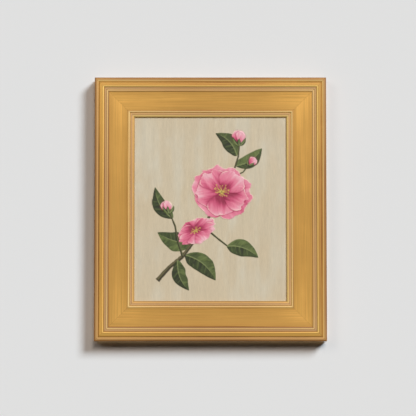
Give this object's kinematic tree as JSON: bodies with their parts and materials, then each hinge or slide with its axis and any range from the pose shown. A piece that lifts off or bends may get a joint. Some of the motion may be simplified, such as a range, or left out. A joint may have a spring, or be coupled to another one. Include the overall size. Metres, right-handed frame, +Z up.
{
  "type": "framed canvas painting",
  "caption": "Upright stretched canvas in a wide gilded wooden frame, held by turn buttons and hung from a sawtooth hanger.",
  "frame": {"origin": "the hanging point: the middle notch of the sawtooth hanger, on the wall plane", "axes": "+Z up along the wall, +Y into the wall so that the picture faces -Y, +X to the viewer's right"},
  "size_m": [0.3682, 0.0314, 0.4191],
  "materials": {
    "gilt_wood": "gold leaf over red-brown bole, rubbed, satin",
    "stretcher_pine": "planed, bare",
    "key_beech": "sawn, bare",
    "painted_linen": "oil paint on primed linen, matte",
    "zinc_steel": "zinc plated",
    "screw_steel": "nickel plated",
    "staple_wire": "galvanised",
    "hanger_brass": "brass plated, satin",
    "bumper_pad": "matte"
  },
  "bodies": {
    "root": {"frame_rail_top": "gilt_wood", "frame_rail_bottom": "gilt_wood", "frame_rail_left": "gilt_wood", "frame_rail_right": "gilt_wood", "v_nail_top_left_outer": "zinc_steel", "v_nail_top_left_inner": "zinc_steel", "v_nail_top_right_outer": "zinc_steel", "v_nail_top_right_inner": "zinc_steel", "v_nail_bottom_left_outer": "zinc_steel", "v_nail_bottom_left_inner": "zinc_steel", "v_nail_bottom_right_outer": "zinc_steel", "v_nail_bottom_right_inner": "zinc_steel", "canvas": "painted_linen", "stretcher_bar_top": "stretcher_pine", "stretcher_bar_bottom": "stretcher_pine", "stretcher_bar_left": "stretcher_pine", "stretcher_bar_right": "stretcher_pine", "canvas_key_top_left_horizontal": "key_beech", "canvas_key_top_left_vertical": "key_beech", "canvas_key_top_right_horizontal": "key_beech", "canvas_key_top_right_vertical": "key_beech", "canvas_key_bottom_left_horizontal": "key_beech", "canvas_key_bottom_left_vertical": "key_beech", "canvas_key_bottom_right_horizontal": "key_beech", "canvas_key_bottom_right_vertical": "key_beech", "staple_top_1": "staple_wire", "staple_top_2": "staple_wire", "staple_top_3": "staple_wire", "staple_bottom_1": "staple_wire", "staple_bottom_2": "staple_wire", "staple_bottom_3": "staple_wire", "staple_left_1": "staple_wire", "staple_left_2": "staple_wire", "staple_left_3": "staple_wire", "staple_left_4": "staple_wire", "staple_right_1": "staple_wire", "staple_right_2": "staple_wire", "staple_right_3": "staple_wire", "staple_right_4": "staple_wire", "turn_button_screw_top_left": "screw_steel", "turn_button_screw_top_right": "screw_steel", "turn_button_screw_bottom_left": "screw_steel", "turn_button_screw_bottom_right": "screw_steel", "turn_button_screw_left": "screw_steel", "turn_button_screw_right": "screw_steel", "sawtooth_hanger": "hanger_brass", "hanger_nail_left": "hanger_brass", "hanger_nail_right": "hanger_brass", "wall_bumper_left": "bumper_pad", "wall_bumper_right": "bumper_pad"},
    "button_top_left": {"turn_button_top_left": "zinc_steel"},
    "button_top_right": {"turn_button_top_right": "zinc_steel"},
    "button_bottom_left": {"turn_button_bottom_left": "zinc_steel"},
    "button_bottom_right": {"turn_button_bottom_right": "zinc_steel"},
    "button_left": {"turn_button_left": "zinc_steel"},
    "button_right": {"turn_button_right": "zinc_steel"}
  },
  "joints": [
    {"name": "swivel_top_left", "type": "hinge", "parent": "root", "child": "button_top_left", "pos_m": [-0.054, -0.0027, -0.0166], "axis": [0, 1, 0], "continuous": true},
    {"name": "swivel_top_right", "type": "hinge", "parent": "root", "child": "button_top_right", "pos_m": [0.054, -0.0027, -0.0166], "axis": [0, 1, 0], "continuous": true},
    {"name": "swivel_bottom_left", "type": "hinge", "parent": "root", "child": "button_bottom_left", "pos_m": [-0.054, -0.0027, -0.3525], "axis": [0, 1, 0], "continuous": true},
    {"name": "swivel_bottom_right", "type": "hinge", "parent": "root", "child": "button_bottom_right", "pos_m": [0.054, -0.0027, -0.3525], "axis": [0, 1, 0], "continuous": true},
    {"name": "swivel_left", "type": "hinge", "parent": "root", "child": "button_left", "pos_m": [-0.14255, -0.0027, -0.18455], "axis": [0, 1, 0], "continuous": true},
    {"name": "swivel_right", "type": "hinge", "parent": "root", "child": "button_right", "pos_m": [0.14255, -0.0027, -0.18455], "axis": [0, 1, 0], "continuous": true}
  ]
}
